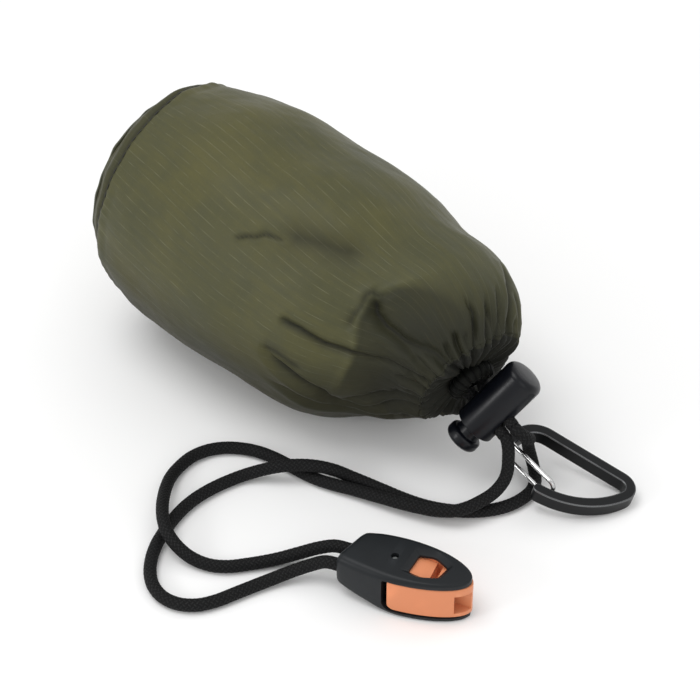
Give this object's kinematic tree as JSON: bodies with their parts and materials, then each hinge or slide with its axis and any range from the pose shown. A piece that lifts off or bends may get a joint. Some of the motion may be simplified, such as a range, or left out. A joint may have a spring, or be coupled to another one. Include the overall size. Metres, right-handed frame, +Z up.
{
  "type": "emergency bivvy bag",
  "caption": "Emergency bivvy bag rolled in an olive ripstop drawcord sack with cord lock, mini carabiner and orange whistle on a paracord loop",
  "frame": {"origin": "on the floor under the middle of the lying sack", "axes": "+X from the sack's base to its gathered mouth, +Z up, +Y to the left of that"},
  "size_m": [0.192, 0.1549, 0.0863],
  "materials": {
    "olive_nylon": "satin ripstop nylon",
    "seam_welt": "folded and stitched seam",
    "metallised_film": "metallised film laminate",
    "black_cord": "braided nylon",
    "lock_plastic": "fine moulded texture",
    "spring_steel": "polished wire",
    "black_anodised": "black satin anodised",
    "whistle_plastic": "satin moulded",
    "orange_plastic": "satin moulded"
  },
  "bodies": {
    "root": {"sack_body": "olive_nylon", "sack_base": "olive_nylon", "base_seam": "seam_welt", "mouth_hem": "olive_nylon", "bivvy_roll": "metallised_film", "drawcord": "black_cord", "cord_strand_left": "black_cord", "cord_strand_right": "black_cord"},
    "lock": {"lock_barrel": "lock_plastic", "lock_spring": "spring_steel"},
    "plunger": {"lock_plunger": "lock_plastic"},
    "carabiner": {"carabiner_frame": "black_anodised"},
    "gate": {"carabiner_gate": "spring_steel"},
    "whistle": {"whistle_shell": "whistle_plastic", "whistle_core": "orange_plastic", "whistle_pin": "whistle_plastic", "cord_bight": "black_cord"}
  },
  "joints": [
    {"name": "lock_slide", "type": "slide", "parent": "root", "child": "lock", "axis": [0.9129, -0.1829, -0.3649], "range_m": [0, 0.002]},
    {"name": "plunger_press", "type": "slide", "parent": "lock", "child": "plunger", "axis": [0.405, 0.5173, 0.7539], "range_m": [0, 0.003], "stiffness_N_per_m": 300, "springref_m": -0.0006, "deforming": ["lock_spring"]},
    {"name": "carabiner_swing", "type": "hinge", "parent": "root", "child": "carabiner", "pos_m": [0.0836, 0.0078, 0], "axis": [0, 0, 1], "range_deg": [-5, 35]},
    {"name": "gate_hinge", "type": "hinge", "parent": "carabiner", "child": "gate", "pos_m": [0.0778, 0.0012, 0.0119], "axis": [0.2419, 0, 0.9703], "range_deg": [0, 25], "stiffness_Nm_per_rad": 0.005, "springref_deg": -1.72},
    {"name": "whistle_lift", "type": "hinge", "parent": "root", "child": "whistle", "pos_m": [0.07021, -0.0661, 0.0086], "axis": [0.3173, -0.9483, 0], "range_deg": [0, 20]}
  ]
}
